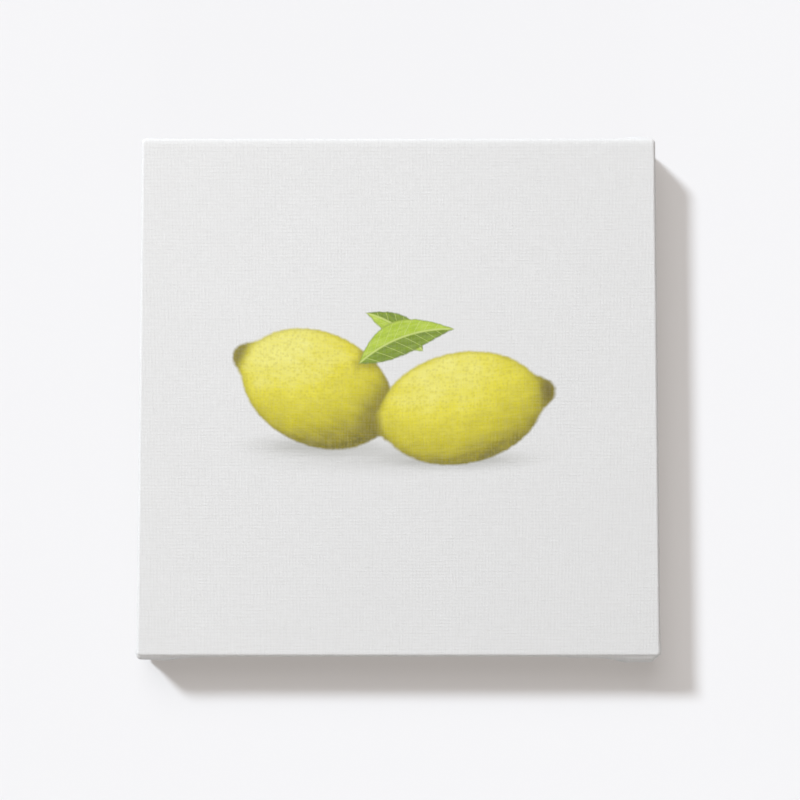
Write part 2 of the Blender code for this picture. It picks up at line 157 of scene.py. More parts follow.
# The print: each fruit and leaf from the front's middle, its turn and half sizes, in mm.
BACK_LEMON = dict(Centre=(-40.0, 3.0, 0.0), Turn=2.72, Half_Length=43.0, Half_Width=28.0)
FRONT_LEMON = dict(Centre=(31.0, -6.5, 0.0), Turn=0.2, Half_Length=45.0, Half_Width=27.5)
HIGH_LEAF = dict(Centre=(4.0, 24.0, 0.0), Turn=0.35, Half_Length=25.0, Half_Width=8.5, Bow=5.0)
LOW_LEAF = dict(Centre=(-2.0, 31.0, 0.0), Turn=2.55, Half_Length=17.0, Half_Width=6.5, Bow=-3.0)
LEMON_TONES = (
    (0.0, (112, 104, 34)),
    (0.22, (156, 146, 38)),
    (0.48, (200, 190, 44)),
    (0.74, (226, 216, 66)),
    (1.0, (240, 234, 128)),
)
LEAF_TONES = (
    (0.1, (92, 112, 34)),
    (0.45, (138, 164, 46)),
    (0.7, (172, 198, 56)),
    (0.95, (204, 222, 104)),
)

# The weave's pitch in metres, and how far its threads wander in the primed and raw cloth.
THREAD_PITCH = 0.0007
PRIMED_WANDER, RAW_WANDER = 0.12, 0.2
# Painted light: how fast the white ground of the print is painted paler towards its upper left,
# where the light comes from, per metre.
PAINTED_LIGHT_LEAN = 1.9

# The wall, just behind the pads, and half the square of it that lets light from behind through.
WALL_SIZE = 6.0
WALL_BEHIND = 0.2 * MM
BEHIND_CANVAS = 129.5 * MM

# The camera, from the middle of the front.
CAMERA_BACK = 0.7536
CAMERA_BELOW = 0.0500
CAMERA_ASIDE = 0.00075
CAMERA_PITCH = 3.6
CAMERA_LENS = 69.0
CAMERA_SENSOR = 36.0
CAMERA_NEAR = 0.01

# The light: the way each lamp's light travels, its strength, its spread in degrees, its colour.
Sun = namedtuple("Sun", "travel strength spread colour")
SUNS = {
    "key_light": Sun((0.975, 1.0, -0.96), 2.7, 9.0, (0.874, 0.938, 1.0)),
    "front_fill": Sun((0.0, 1.0, 0.0), 1.1, 8.0, (1.0, 0.915, 0.828)),
    "upper_fill": Sun((0.25, 1.0, -0.76), 0.88, 42.0, (1.0, 0.98, 0.975)),
    "lower_fill": Sun((0.0, 0.0, 1.0), 0.75, 26.0, (1.0, 1.0, 1.0)),
    "back_light": Sun((-0.5, -1.0, -0.7), 2.2, 25.0, (1.0, 0.985, 0.96)),
    "back_fill": Sun((0.2, -1.0, -0.1), 1.5, 150.0, (0.97, 0.98, 1.0)),
}
# The pale room's strength as it lights things, and as it is mirrored in them.
ROOM_LIGHT = 0.06
ROOM_MIRRORED = 0.7


def clamp01(value):
    return min(1.0, max(0.0, value))


def smooth(value):
    value = clamp01(value)
    return value * value * (3.0 - 2.0 * value)


def eased(value, start, reach):
    """0 up to start, 1 from start + reach on, and smooth between them."""
    return smooth((value - start) / reach)


def hump(value, middle, reach):
    """1 in the middle, and falling away on both sides."""
    return math.exp(-(((value - middle) / reach) ** 2))


def linear(red, green, blue, alpha=1.0):
    """A colour given as 0 to 255 screen values, as a shader takes it."""
    screen = (channel / 255.0 for channel in (red, green, blue))
    return (*(c / 12.92 if c <= 0.04045 else ((c + 0.055) / 1.055) ** 2.4 for c in screen), alpha)


class Nodes:
    """Short ways to add and join the nodes of one shader tree."""

    def __init__(self, tree):
        self.tree = tree

    def add(self, kind, **settings):
        node = self.tree.nodes.new(kind)
        for name, value in settings.items():
            setattr(node, name, value)
        return node

    def put(self, value, socket):
        if isinstance(value, bpy.types.NodeSocket):
            self.tree.links.new(value, socket)
        else:
            socket.default_value = value

    def math(self, operation, *values, clamp=False):
        node = self.add("ShaderNodeMath", operation=operation, use_clamp=clamp)
        for value, socket in zip(values, node.inputs):
            self.put(value, socket)
        return node.outputs[0]

    def times(self, first, *others):
        for other in others:
            first = self.math("MULTIPLY", first, other)
        return first

    def plus(self, first, *others):
        for other in others:
            first = self.math("ADD", first, other)
        return first

    def minus(self, first, second):
        return self.math("SUBTRACT", first, second)

    def size(self, value):
        return self.math("ABSOLUTE", value)

    def swing(self, value, amount):
        """A value from 0 to 1 moved to lie about 0, times an amount."""
        return self.times(self.minus(value, 0.5), amount)

    def vector(self, operation, *values):
        node = self.add("ShaderNodeVectorMath", operation=operation)
        for value, socket in zip(values, node.inputs):
            self.put(value, socket)
        return node.outputs["Value" if operation == "LENGTH" else "Vector"]

    def scaled(self, place, scales):
        return self.vector("MULTIPLY", place, scales)

    def split(self, vector):
        node = self.add("ShaderNodeSeparateXYZ")
        self.put(vector, node.inputs[0])
        return node.outputs

    def join(self, x, y, z=0.0):
        node = self.add("ShaderNodeCombineXYZ")
        for value, socket in zip((x, y, z), node.inputs):
            self.put(value, socket)
        return node.outputs[0]

    def turned(self, place, angle):
        """A place turned back about Z by an angle in radians."""
        node = self.add("ShaderNodeVectorRotate", rotation_type="Z_AXIS")
        self.put(place, node.inputs["Vector"])
        self.put(self.times(angle, -1.0), node.inputs["Angle"])
        return node.outputs[0]

    def position(self):
        return self.add("ShaderNodeNewGeometry").outputs["Position"]

    def from_middle(self):
        """The shaded place in metres from the frame's middle."""
        return self.vector("SUBTRACT", self.position(), tuple(FRAME_MIDDLE))

    def ramp(self, value, low, high, to_low=0.0, to_high=1.0):
        """value eased from low..high to to_low..to_high, and held beyond them."""
        node = self.add("ShaderNodeMapRange", interpolation_type="SMOOTHSTEP")
        for item, socket in zip((value, low, high, to_low, to_high), node.inputs):
            self.put(item, socket)
        return node.outputs[0]

    def mix(self, share, first, second):
        node = self.add("ShaderNodeMix", data_type="RGBA")
        self.put(share, node.inputs["Factor"])
        self.put(first, node.inputs[6])
        self.put(second, node.inputs[7])
        return node.outputs[2]

    def noise(self, place, scale, detail=2.0, roughness=0.5):
        node = self.add("ShaderNodeTexNoise")
        self.put(place, node.inputs["Vector"])
        node.inputs["Scale"].default_value = scale
        node.inputs["Detail"].default_value = detail
        node.inputs["Roughness"].default_value = roughness
        return node.outputs["Fac"]

    def tones(self, value, stops):
        """Colours for a value: stops are (value, (red, green, blue)) in screen values."""
        node = self.add("ShaderNodeValToRGB")
        self.put(value, node.inputs[0])
        elements = node.color_ramp.elements
        while len(elements) < len(stops):
            elements.new(1.0)
        for element, (place, colour) in zip(elements, stops):
            element.position = place
            element.color = linear(*colour)
        return node.outputs[0]

    def group(self, made, **values):
        node = self.add("ShaderNodeGroup", node_tree=made)
        for label, value in values.items():
            self.put(value, node.inputs[label.replace("_", " ")])
        return node.outputs


SOCKETS = {"value": "NodeSocketFloat", "vector": "NodeSocketVector", "colour": "NodeSocketColor"}


def new_group(name, inputs, outputs):
    """An empty shader group: inputs are (label, kind, value), outputs (label, kind)."""
    tree = bpy.data.node_groups.new(name, "ShaderNodeTree")
    for label, kind, value in inputs:
        socket = tree.interface.new_socket(label, in_out="INPUT", socket_type=SOCKETS[kind])
        if value is not None:
            socket.default_value = value
    for label, kind in outputs:
        tree.interface.new_socket(label, in_out="OUTPUT", socket_type=SOCKETS[kind])
    nodes = Nodes(tree)
    return nodes, nodes.add("NodeGroupInput").outputs, nodes.add("NodeGroupOutput").inputs


def new_material(name, colour, roughness, metallic=0.0, specular=0.5):
    made = bpy.data.materials.new(name)
    made.use_nodes = True
    nodes = Nodes(made.node_tree)
    shader = made.node_tree.nodes["Principled BSDF"]
    shader.inputs["Base Color"].default_value = colour
    shader.inputs["Roughness"].default_value = roughness
    shader.inputs["Metallic"].default_value = metallic
    shader.inputs["Specular IOR Level"].default_value = specular
    made.diffuse_color = colour
    return made, nodes, shader


def add_bump(nodes, shader, height, depth, strength=1.0):
    bump = nodes.add("ShaderNodeBump")
    bump.inputs["Strength"].default_value = strength
    bump.inputs["Distance"].default_value = depth
    nodes.put(height, bump.inputs["Height"])
    nodes.put(bump.outputs[0], shader.inputs["Normal"])


def plain_weave():
    """Threads over and under each other. Height is 0 in the gaps and 1 on a crossing's crown."""
    nodes, given, out = new_group(
        "plain_weave",
        (
            ("Cloth", "vector", None),
            ("Pitch", "value", THREAD_PITCH),
            ("Wander", "value", 0.25),
        ),
        (("Height", "value"), ("Gap", "value"), ("Slub", "value")),
    )
    cloth = given["Cloth"]
    x, y, _ = nodes.split(cloth)
    per_pitch = nodes.math("DIVIDE", 1.0, given["Pitch"])
    sway = nodes.swing(nodes.noise(cloth, 90.0), nodes.times(given["Wander"], 6.0))

    # Each thread is thick and thin along its length.
    along_weft = nodes.noise(nodes.scaled(cloth, (110.0, 1500.0, 1.0)), 1.0, 1.0)
    along_warp = nodes.noise(nodes.scaled(cloth, (1500.0, 110.0, 1.0)), 1.0, 1.0)
    warp_fat = nodes.plus(nodes.times(along_warp, 0.4), 0.4)
    weft_fat = nodes.plus(nodes.times(along_weft, 0.4), 0.4)

    across = nodes.plus(nodes.times(x, per_pitch), sway)
    along = nodes.minus(nodes.times(y, per_pitch), sway)
    wave_x = nodes.math("SINE", nodes.times(across, math.pi))
    wave_y = nodes.math("SINE", nodes.times(along, math.pi))
    over = nodes.times(wave_x, wave_y, 0.45)
    warp_round = nodes.math("POWER", nodes.size(wave_x), 0.6)
    weft_round = nodes.math("POWER", nodes.size(wave_y), 0.6)
    warp = nodes.times(warp_round, warp_fat, nodes.plus(over, 1.0))
    weft = nodes.times(weft_round, weft_fat, nodes.minus(1.0, over))
    height = nodes.math("MAXIMUM", warp, weft)
    nodes.put(height, out["Height"])
    nodes.put(nodes.ramp(height, 0.22, 0.52, 1.0, 0.0), out["Gap"])
    nodes.put(nodes.plus(nodes.times(along_warp, 0.5), nodes.times(along_weft, 0.5)), out["Slub"])
    return nodes.tree


def softwood_grain():
    """Growth rings round a pith well outside the bar, so that the faces show long lines."""
    nodes, given, out = new_group(
        "softwood_grain",
        (
            ("Place", "vector", None),
            ("Ring Width", "value", 0.0021),
            ("Pith", "vector", (0.0, 0.05, 0.03)),
        ),
        (("Late Wood", "value"), ("Fleck", "value"), ("Tone", "value")),
    )
    drawn_out = nodes.scaled(given["Place"], (3.0, 28.0, 28.0))
    _, across, depth = nodes.split(nodes.vector("ADD", given["Place"], given["Pith"]))
    along, _, _ = nodes.split(given["Place"])
    lean = nodes.times(along, 0.035)
    ring = nodes.vector("LENGTH", nodes.join(nodes.plus(across, lean), depth))
    ring = nodes.plus(ring, nodes.swing(nodes.noise(drawn_out, 1.3, 3.0), 0.007))
    turn = nodes.math("FRACT", nodes.math("DIVIDE", ring, given["Ring Width"]))
    # Late wood darkens slowly through a year's ring and ends sharply.
    late = nodes.times(nodes.ramp(turn, 0.35, 0.86), nodes.ramp(turn, 0.9, 1.0, 1.0, 0.0))
    fibres = nodes.scaled(given["Place"], (30.0, 1900.0, 1900.0))
    nodes.put(late, out["Late Wood"])
    nodes.put(nodes.noise(fibres, 1.0, 3.0, 0.65), out["Fleck"])
    nodes.put(nodes.noise(drawn_out, 0.35), out["Tone"])
    return nodes.tree


def worn_metal():
    """Rub marks and small spots for thin plated pieces."""
    nodes, given, out = new_group(
        "worn_metal",
        (("Place", "vector", None),),
        (("Rub", "value"), ("Spots", "value")),
    )
    rubbed = nodes.noise(nodes.scaled(given["Place"], (1.0, 1.0, 6.0)), 700.0, 4.0, 0.7)
    spotted = nodes.noise(given["Place"], 1500.0, 3.0, 0.6)
    nodes.put(nodes.ramp(rubbed, 0.35, 0.7), out["Rub"])
    nodes.put(nodes.ramp(spotted, 0.56, 0.72), out["Spots"])
    return nodes.tree


def painted_group(name, half_length, half_width, *more):
    """The group of one painted thing, and its Place as (u, v) along and across it, in mm."""
    nodes, given, out = new_group(
        name,
        (
            ("Place", "vector", None),
            ("Centre", "vector", None),
            ("Turn", "value", 0.0),
            ("Half Length", "value", half_length),
            ("Half Width", "value", half_width),
            *more,
        ),
        (("Colour", "colour"), ("Mask", "value"), ("Distance", "value")),
    )
    offset = nodes.vector("SUBTRACT", given["Place"], given["Centre"])
    return nodes, given, out, offset, nodes.turned(offset, given["Turn"])


def painted_fruit():
    """A plain lemon in soft brushwork. Place and Centre are in mm on the front of the canvas."""
    nodes, given, out, offset, turned = painted_group("painted_fruit", 40.0, 27.0)
    u, v, _ = nodes.split(turned)
    length, width = given["Half Length"], given["Half Width"]
    u_share = nodes.math("DIVIDE", u, length)
    v_share = nodes.math("DIVIDE", v, width)
    radius = nodes.vector("LENGTH", nodes.join(nodes.math("DIVIDE", u_share, 0.9), v_share))
    body = nodes.minus(radius, 1.0)
    # The two ends differ: a blunt one for the stalk and a nipple at the other.
    end = nodes.minus(nodes.size(nodes.plus(u_share, -0.03)), 0.8)
    end_u = nodes.math("DIVIDE", end, 0.22)
    end_v = nodes.math("DIVIDE", v_share, 0.27)
    tip = nodes.times(nodes.minus(nodes.vector("LENGTH", nodes.join(end_u, end_v)), 1.0), 0.25)
    joined = nodes.math("SMOOTH_MIN", body, tip, 0.22)
    wobble = nodes.swing(nodes.noise(given["Place"], 0.35), 1.1)
    distance = nodes.plus(nodes.times(joined, width), wobble)

    # Light from the upper left, rounded shade below right, and brushed streaks.
    px, py, _ = nodes.split(offset)
    left = nodes.times(nodes.math("DIVIDE", px, length), -0.38)
    up = nodes.times(nodes.math("DIVIDE", py, width), 0.62)
    inside = nodes.minus(1.0, nodes.times(radius, radius))
    dome = nodes.math("SQRT", nodes.math("MAXIMUM", inside, 0.0))
    lit = nodes.plus(left, up, nodes.times(dome, 0.62))
    streaked = nodes.noise(nodes.scaled(turned, (0.05, 0.32, 1.0)), 1.0, 4.0, 0.6)
    blotted = nodes.noise(given["Place"], 0.09, 3.0)
    tone = nodes.plus(lit, nodes.swing(streaked, 0.42), nodes.swing(blotted, 0.5), 0.52)
    colour = nodes.tones(nodes.math("MULTIPLY", tone, 0.64, clamp=True), LEMON_TONES)

    pores = nodes.add("ShaderNodeTexVoronoi", feature="SMOOTH_F1")
    nodes.put(given["Place"], pores.inputs["Vector"])
    pores.inputs["Scale"].default_value = 0.62
    dots = nodes.ramp(pores.outputs["Distance"], 0.1, 0.5, 0.24, 0.0)
    colour = nodes.mix(dots, colour, linear(182, 168, 36))
    ends = nodes.times(nodes.ramp(nodes.size(u_share), 0.84, 0.99), 0.85)
    colour = nodes.mix(ends, colour, linear(104, 92, 34))
    rim = nodes.times(nodes.ramp(distance, -2.4, 0.2), 0.4)
    colour = nodes.mix(rim, colour, linear(150, 140, 44))
    nodes.put(colour, out["Colour"])
    nodes.put(nodes.ramp(distance, -0.8, 0.7, 1.0, 0.0), out["Mask"])
    nodes.put(distance, out["Distance"])
    return nodes.tree


def painted_leaf():
    """A plain pointed leaf with a midrib and side veins, in the same brushwork."""
    nodes, given, out, _, turned = painted_group("painted_leaf", 24.0, 9.0, ("Bow", "value", 4.0))
    u, v, _ = nodes.split(turned)
    share = nodes.math("DIVIDE", u, given["Half Length"])
    crown = nodes.math("MAXIMUM", nodes.minus(1.0, nodes.times(share, share)), 0.0)
    side = nodes.minus(v, nodes.times(crown, given["Bow"]))
    skew = nodes.minus(1.0, nodes.times(share, 0.28))
    half = nodes.times(crown, skew, given["Half Width"])
    wobble = nodes.swing(nodes.noise(given["Place"], 0.4), 1.0)
    distance = nodes.plus(nodes.minus(nodes.size(side), half), wobble)
    past_end = nodes.minus(nodes.size(u), given["Half Length"])
    distance = nodes.math("MAXIMUM", distance, past_end)

    upper = nodes.ramp(side, -1.2, 1.2)
    streak = nodes.noise(nodes.scaled(turned, (0.12, 0.5, 1.0)), 1.0, 4.0, 0.6)
    tone = nodes.plus(nodes.times(upper, 0.42), nodes.times(streak, 0.62))
    colour = nodes.tones(tone, LEAF_TONES)
    vein_place = nodes.minus(nodes.size(side), u)
    vein = nodes.math("PINGPONG", nodes.times(vein_place, 0.19), 0.5)
    veins = nodes.ramp(vein, 0.0, 0.075, 0.55, 0.0)
    midrib = nodes.ramp(nodes.size(side), 0.15, 0.75, 0.8, 0.0)
    colour = nodes.mix(nodes.math("MAXIMUM", veins, midrib), colour, linear(206, 220, 128))
    rim = nodes.times(nodes.ramp(distance, -1.2, 0.1), 0.5)
    colour = nodes.mix(rim, colour, linear(96, 112, 40))
    nodes.put(colour, out["Colour"])
    nodes.put(nodes.ramp(distance, -0.6, 0.5, 1.0, 0.0), out["Mask"])
    nodes.put(distance, out["Distance"])
    return nodes.tree


def soft_spot(nodes, place, centre, reach, power):
    """1 at centre, easing to 0 at reach (x, y) in mm."""
    offset = nodes.vector("DIVIDE", nodes.vector("SUBTRACT", place, centre), (*reach, 1.0))
    far = nodes.vector("LENGTH", offset)
    return nodes.math("POWER", nodes.ramp(far, 0.0, 1.0, 1.0, 0.0), power)


def print_colour(nodes, ground):
    """Two lemons with leaves in the middle of the white, over the ground colour."""
    x, _, z = nodes.split(nodes.from_middle())
    place = nodes.join(nodes.times(x, 1.0 / MM), nodes.times(z, 1.0 / MM))
    fruit, leaf = painted_fruit(), painted_leaf()
    back = nodes.group(fruit, Place=place, **BACK_LEMON)
    front = nodes.group(fruit, Place=place, **FRONT_LEMON)
    high = nodes.group(leaf, Place=place, **HIGH_LEAF)
    low = nodes.group(leaf, Place=place, **LOW_LEAF)

    # The shade that the lemons throw on the ground.
    wide = soft_spot(nodes, place, (-2.0, -30.0, 0.0), (92.0, 13.0), 1.2)
    near = soft_spot(nodes, place, (30.0, -32.0, 0.0), (48.0, 7.0), 1.0)
    under = soft_spot(nodes, place, (-42.0, -25.0, 0.0), (44.0, 8.0), 1.0)
    brush = nodes.noise(nodes.scaled(place, (0.05, 0.4, 1.0)), 1.0, 4.0, 0.6)
    close = nodes.times(nodes.math("MAXIMUM", near, under), 0.5)
    shade = nodes.plus(nodes.times(wide, 0.34), close)
    shade = nodes.math("MULTIPLY", shade, nodes.plus(brush, 0.45), clamp=True)
    colour = nodes.mix(shade, ground, linear(150, 150, 142))

    # The back lemon, with the front one's shade, then the front one and the leaves.
    colour = nodes.mix(back["Mask"], colour, back["Colour"])
    cast = nodes.times(nodes.ramp(front["Distance"], 0.0, 9.0, 0.55, 0.0), back["Mask"])
    colour = nodes.mix(cast, colour, linear(118, 108, 36))
    colour = nodes.mix(front["Mask"], colour, front["Colour"])
    on_fruit = nodes.math("MAXIMUM", back["Mask"], front["Mask"])
    leaf_cast = nodes.times(nodes.ramp(high["Distance"], 0.0, 5.0, 0.5, 0.0), on_fruit)
    colour = nodes.mix(leaf_cast, colour, linear(126, 118, 40))
    colour = nodes.mix(low["Mask"], colour, low["Colour"])
    return nodes.mix(high["Mask"], colour, high["Colour"])


def cloth_coordinates(nodes):
    return nodes.add("ShaderNodeUVMap", uv_map="cloth").outputs[0]


def primed_cloth(name, weave, printed):
    """White primed canvas, with or without the print."""
    made, nodes, shader = new_material(name, linear(226, 226, 225), 0.78, specular=0.3)
    cloth = cloth_coordinates(nodes)
    threads = nodes.group(weave, Cloth=cloth, Pitch=THREAD_PITCH, Wander=PRIMED_WANDER)
    x, y, _ = nodes.split(cloth)
    patches = nodes.swing(nodes.noise(cloth, 14.0, 3.0), 0.2)
    # Painted light: the lean paints the ground paler towards the upper left, the lit side, on top
    # of the random patches of tone.
    lean = nodes.times(nodes.minus(y, x), PAINTED_LIGHT_LEAN)
    share = nodes.math("ADD", nodes.plus(patches, lean), 0.5, clamp=True)
    ground = nodes.mix(share, linear(219.5, 219.5, 219.5), linear(233.5, 233.5, 233.5))
    if printed:
        ground = print_colour(nodes, ground)
    # Painted shade: the gaps between the threads are painted darker, as shade falling into them.
    ground = nodes.mix(nodes.times(threads["Gap"], 0.31), ground, linear(170, 168, 164))
    streaks = nodes.ramp(threads["Slub"], 0.36, 0.64, 0.07, 0.0)
    ground = nodes.mix(streaks, ground, linear(184, 183, 181))
    nodes.put(ground, shader.inputs["Base Color"])
    nodes.put(nodes.plus(nodes.times(threads["Slub"], 0.18), 0.68), shader.inputs["Roughness"])
    height = nodes.plus(threads["Height"], nodes.times(threads["Slub"], 0.4))
    add_bump(nodes, shader, height, 0.17 * MM)
    return made


def raw_cloth(weave):
    """The unprimed reverse: cream cotton with seed flecks and plain deep threads."""
    made, nodes, shader = new_material(
        "raw_canvas_reverse", linear(214, 206, 188), 0.92, specular=0.15
    )
    cloth = cloth_coordinates(nodes)
    threads = nodes.group(weave, Cloth=cloth, Pitch=THREAD_PITCH, Wander=RAW_WANDER)
    tone = nodes.mix(threads["Slub"], linear(196, 186, 164), linear(228, 221, 205))
    flecks = nodes.ramp(nodes.noise(cloth, 900.0, 2.0, 0.7), 0.67, 0.73)
    tone = nodes.mix(nodes.times(flecks, 0.7), tone, linear(126, 98, 62))
    # Painted shade: the gaps between the threads are painted darker, as shade falling into them.
    tone = nodes.mix(nodes.times(threads["Gap"], 0.5), tone, linear(146, 134, 110))
    nodes.put(tone, shader.inputs["Base Color"])
    shader.inputs["Sheen Weight"].default_value = 0.25
    shader.inputs["Sheen Roughness"].default_value = 0.6
    add_bump(nodes, shader, threads["Height"], 0.16 * MM)
    return made


def bar_wood(name, grain, bar):
    """Planed softwood. The bar's turn brings its length to the grain's X."""
    made, nodes, shader = new_material(name, linear(220, 188, 142), 0.62, specular=0.35)
    turned = nodes.add("ShaderNodeVectorRotate", rotation_type="EULER_XYZ")
    nodes.put(nodes.from_middle(), turned.inputs["Vector"])
    turned.inputs["Rotation"].default_value = bar.turn
    lines = nodes.group(grain, Place=turned.outputs[0], Ring_Width=bar.ring_width, Pith=bar.pith)
    early = nodes.mix(lines["Tone"], linear(220, 197, 160), linear(236, 218, 187))
    late = nodes.times(lines["Late Wood"], nodes.plus(nodes.times(lines["Tone"], 0.7), 0.12))
    colour = nodes.mix(late, early, linear(192, 152, 106))
    pale = nodes.ramp(lines["Fleck"], 0.5, 0.75, 0.0, 0.3)
    colour = nodes.mix(pale, colour, linear(240, 220, 186))
    pores = nodes.ramp(lines["Fleck"], 0.25, 0.42, 0.5, 0.0)
    colour = nodes.mix(pores, colour, linear(150, 106, 62))
    nodes.put(colour, shader.inputs["Base Color"])
    rough = nodes.minus(0.74, nodes.times(lines["Late Wood"], 0.16))
    nodes.put(rough, shader.inputs["Roughness"])
    height = nodes.plus(nodes.times(lines["Late Wood"], 0.5), lines["Fleck"])
    add_bump(nodes, shader, height, 0.06 * MM, 0.7)
    return made


def plated(name, wear, colour, dull, roughness):
    """Thin plating that is rubbed dull and spotted in places."""
    made, nodes, shader = new_material(name, colour, roughness, metallic=1.0)
    marks = nodes.group(wear, Place=nodes.position())
    shown = nodes.mix(nodes.times(marks["Rub"], 0.6), colour, dull)
    shown = nodes.mix(nodes.times(marks["Spots"], 0.35), shown, linear(110, 100, 86))
    nodes.put(shown, shader.inputs["Base Color"])
    nodes.put(nodes.plus(nodes.times(marks["Rub"], 0.25), roughness), shader.inputs["Roughness"])
    add_bump(nodes, shader, marks["Rub"], 0.02 * MM, 0.5)
    return made


def pad_rubber():
    made, nodes, shader = new_material("pad_rubber", linear(206, 205, 200), 0.5)
    grime = nodes.noise(nodes.position(), 600.0, 3.0)
    shown = nodes.mix(grime, linear(196, 194, 188), linear(216, 215, 211))
    nodes.put(shown, shader.inputs["Base Color"])
    nodes.put(nodes.plus(nodes.times(grime, 0.25), 0.4), shader.inputs["Roughness"])
    shader.inputs["Coat Weight"].default_value = 0.15
    add_bump(nodes, shader, grime, 0.03 * MM, 0.5)
    return made


def spaced(spacing):
    """Distances from a corner towards the middle of a side, in metres."""
    places, at = [0.0], 0.0
    for limit, step in spacing:
        count = max(1, round((limit - at) / step))
        places += [at + (limit - at) * (i + 1) / count for i in range(count)]
        at = limit
    return [place * MM for place in places]


def side_samples(spacing):
    """Places along a side from -1 to 1, closer together at its ends."""
    full = CLOTH_HALF - CORNER
    near = [1.0 - place / full for place in spaced(spacing)]
    near = [value for value in near if value > MIDDLE_GAP]
    return [-value for value in near] + [0.0] + near[::-1]


def wrap_rows():
    """The cloth's rows from the rim of the front to the raw edge behind.

    Each has its reach outward, its y, its normal's shares outward and backward, the radius
    at the corners and the run across the cloth so far.
    """
    rows = []
    for step in range(FRONT_EDGE_ROWS + 1):
        angle = step / FRONT_EDGE_ROWS * math.pi / 2
        out, back = math.sin(angle), -math.cos(angle)
        reach = CLOTH_HALF - FRONT_EDGE * (1.0 - out**FRONT_EDGE_POWER)
        y = CLOTH_FRONT + FRONT_EDGE * (1.0 - abs(back) ** FRONT_EDGE_POWER)
        radius = CORNER * (CORNER_AT_FRONT + (1.0 - CORNER_AT_FRONT) * out)
        rows.append(Row(reach, y, out, back, radius, angle * FRONT_EDGE))
    run = rows[-1].run
    side = CLOTH_BACK - CLOTH_FRONT - FRONT_EDGE - BACK_EDGE
    count = round(side / SIDE_ROW)
    for step in range(1, count + 1):
        deep = side * step / count
        rows.append(Row(CLOTH_HALF, CLOTH_FRONT + FRONT_EDGE + deep, 1.0, 0.0, CORNER, run + deep))
    run += side
    for step in range(1, BACK_EDGE_ROWS + 1):
        angle = step / BACK_EDGE_ROWS * math.pi / 2
        out, back = math.cos(angle), math.sin(angle)
        reach = CLOTH_HALF - BACK_EDGE * (1.0 - out)
        y = CLOTH_BACK - BACK_EDGE * (1.0 - back)
        rows.append(Row(reach, y, out, back, CORNER, run + angle * BACK_EDGE))
    run = rows[-1].run
    strip = TURNED_IN - BACK_EDGE
    count = round(strip / STRIP_ROW)
    for step in range(1, count + 1):
        inward = strip * step / count
        reach = CLOTH_HALF - BACK_EDGE - inward
        rows.append(Row(reach, CLOTH_BACK, 0.0, 1.0, CORNER, run + inward))
    return rows


# The middle of each staple in the cloth, from the frame's middle, with its name.
STAPLES = [
    (sum(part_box(name), Vector()) / 2.0 - FRAME_MIDDLE, name)
    for name in sorted(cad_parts)
    if name.startswith("staple_") and "mitre" not in name
]


def inside_crease(ear, along, run):
    """How far inside the ear's free edge a place is, in mm, run mm across the cloth."""
    return ear.crease + ear.slope * run - along


def ear_on_side(corner, along, run):
    """The swelling of an ear on the top or bottom side, in mm."""
    ear = EARS[corner]
    inside = inside_crease(ear, along, run)
    lip = 0.0
    if inside > 0.0:
        left = 1.0 - min(1.0, inside / EAR_LIP)
        lip = math.sqrt(1.0 - left * left)
    puff = 1.0 + LIP_PUFF * hump(inside, LIP_PUFF_AT, LIP_PUFF_REACH)
    bulge = ear.bulge * (1.0 - eased(along, ear.hold, ear.sunk - ear.hold))
    lifted = math.sin(clamp01((run - EAR_START) / ear.rise_in) * math.pi / 2)
    settled = 1.0 - ear.settle * eased(run, SETTLE_START, SETTLE_REACH)
    ear_rise = lifted * settled * (bulge + EAR_LAYER * lip * puff)

    tail = ear.tail * eased(run, TAIL_START, TAIL_REACH)
    tail *= 1.0 - clamp01((along - ear.tail_hold) / (ear.tail_end - ear.tail_hold))
    tail *= 1.0 - TAIL_THINS * eased(run, TAIL_THINS_START, TAIL_THINS_REACH)
    return (tail + ear_rise) * eased(along, CORNER_START, ear.corner_rise)


def fold_on_back(corner, along, inset, run):
    """The ear and its flap turned over on the back, in mm."""
    turned_in = TURNED_IN / MM
    lip = eased(inside_crease(EARS[corner], along, run), 0.0, BACK_FOLD_STEP)
    outer = eased(along, BACK_FOLD_START + BACK_FOLD_LEAN * inset / turned_in, BACK_FOLD_STEP)
    raw = eased(turned_in - inset, -BACK_FOLD_STEP, BACK_FOLD_STEP)
    return BACK_FOLD_RISE * lip * outer * raw


def staple_pull(place):
    """The dent under a staple's crown and the small swell round it, in mm."""
    pull = 0.0
    for spot, name in STAPLES:
        dx, dz = (place.x - spot.x) / MM, (place.z - spot.z) / MM
        if abs(dx) > STAPLE_NEAR or abs(dz) > STAPLE_NEAR:
            continue
        if "fold" in name:
            slant = 1.0 if spot.x * spot.z > 0 else -1.0
            long, short = (dx - slant * dz) * DIAGONAL, (dx + slant * dz) * DIAGONAL
        elif "_top_" in name or "_bottom_" in name:
            long, short = dx, dz
        else:
            long, short = dz, dx
        far = math.hypot(max(0.0, abs(long) - STAPLE_HALF_CROWN), short)
        pull += STAPLE_SWELL * hump(far, STAPLE_SWELL_AT, STAPLE_SWELL_REACH)
        pull -= STAPLE_DENT * hump(far, 0.0, STAPLE_DENT_REACH)
    return pull


